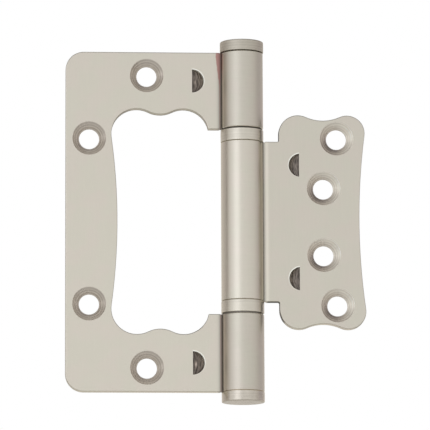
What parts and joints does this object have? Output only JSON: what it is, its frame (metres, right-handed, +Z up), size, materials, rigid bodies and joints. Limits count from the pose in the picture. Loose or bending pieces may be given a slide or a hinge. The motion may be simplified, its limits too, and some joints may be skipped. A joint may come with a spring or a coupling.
{
  "type": "flush hinge",
  "caption": "Flush door hinge: a small leaf folds into the large leaf's window, on a pin with thrust ball bearings; countersunk screw holes and half-moon teeth.",
  "frame": {"origin": "on the pin's axis, at the hinge's mid height", "axes": "+Z up along the pin, towards its head; +X from the pin towards the small leaf, with both leaves open flat; -Y out of the countersunk faces, towards a person who drives the screws"},
  "size_m": [0.0889, 0.0128, 0.1079],
  "materials": {
    "satin_sheet": "satin nickel plate on pressed steel",
    "satin_turned": "satin nickel plate on turned steel, fine turning lines",
    "bearing_steel": "ground and polished steel",
    "cage_brass": "plain pressed brass"
  },
  "bodies": {
    "large_leaf": {"large_leaf": "satin_sheet", "hinge_pin": "satin_turned", "bottom_tip": "satin_turned", "upper_bearing_race": "bearing_steel", "lower_bearing_race": "bearing_steel"},
    "small_leaf": {"small_leaf": "satin_sheet", "upper_bearing_cup": "satin_turned", "lower_bearing_cup": "satin_turned"},
    "upper_balls": {"upper_ball_cage": "cage_brass", "upper_ball_1": "bearing_steel", "upper_ball_2": "bearing_steel", "upper_ball_3": "bearing_steel", "upper_ball_4": "bearing_steel", "upper_ball_5": "bearing_steel", "upper_ball_6": "bearing_steel", "upper_ball_7": "bearing_steel", "upper_ball_8": "bearing_steel", "upper_ball_9": "bearing_steel"},
    "lower_balls": {"lower_ball_cage": "cage_brass", "lower_ball_1": "bearing_steel", "lower_ball_2": "bearing_steel", "lower_ball_3": "bearing_steel", "lower_ball_4": "bearing_steel", "lower_ball_5": "bearing_steel", "lower_ball_6": "bearing_steel", "lower_ball_7": "bearing_steel", "lower_ball_8": "bearing_steel", "lower_ball_9": "bearing_steel"}
  },
  "joints": [
    {"name": "leaf_hinge", "type": "hinge", "parent": "large_leaf", "child": "small_leaf", "pos_m": [0, 0, 0], "axis": [0, 0, 1], "range_deg": [-180, 90]},
    {"name": "upper_balls_orbit", "type": "hinge", "parent": "large_leaf", "child": "upper_balls", "pos_m": [0, 0, 0], "axis": [0, 0, 1], "range_deg": [-90, 45]},
    {"name": "lower_balls_orbit", "type": "hinge", "parent": "large_leaf", "child": "lower_balls", "pos_m": [0, 0, 0], "axis": [0, 0, 1], "range_deg": [-90, 45]}
  ],
  "couplings": [
    {"joint": "upper_balls_orbit", "follows": "leaf_hinge", "ratio": 0.5},
    {"joint": "lower_balls_orbit", "follows": "leaf_hinge", "ratio": 0.5}
  ]
}
